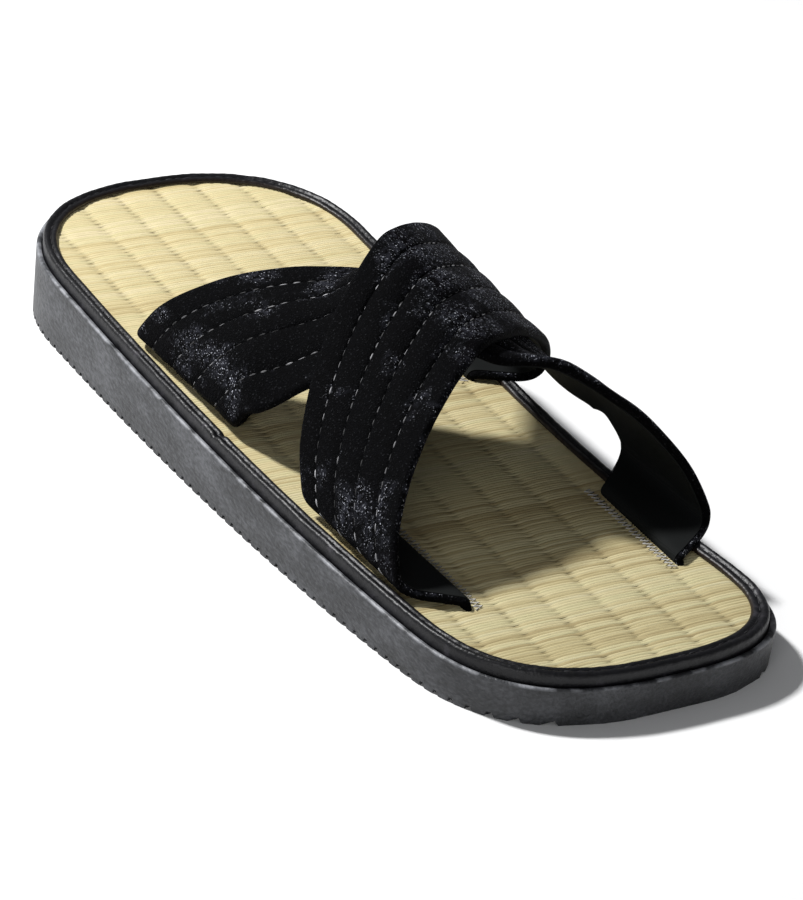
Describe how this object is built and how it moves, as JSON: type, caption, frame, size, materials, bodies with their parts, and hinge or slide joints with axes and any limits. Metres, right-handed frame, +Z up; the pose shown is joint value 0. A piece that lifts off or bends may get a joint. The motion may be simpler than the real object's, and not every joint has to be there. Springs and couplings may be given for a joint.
{
  "type": "zori sandal",
  "caption": "Flat zori sandal with a woven rush mat, a stitched edge binding, a ribbed wedge outsole and quilted velvet straps that cross over the foot.",
  "frame": {"origin": "bottom centre of the footprint, on the surface the sandal stands on", "axes": "+Y from toe to heel, +Z up, +X towards the inner side of the foot"},
  "size_m": [0.107, 0.2772, 0.0682],
  "materials": {
    "outsole_foam": "matt dark grey foam rubber, faintly mottled",
    "rush_mat": "natural woven rush, pale straw yellow",
    "binding_vinyl": "black satin vinyl, stitched along its channel",
    "velvet": "black crushed velvet, quilted with grey stitch rows"
  },
  "bodies": {
    "root": {"outsole": "outsole_foam", "tatami_insole": "rush_mat", "edge_binding": "binding_vinyl", "strap_upper": "velvet"}
  },
  "joints": []
}
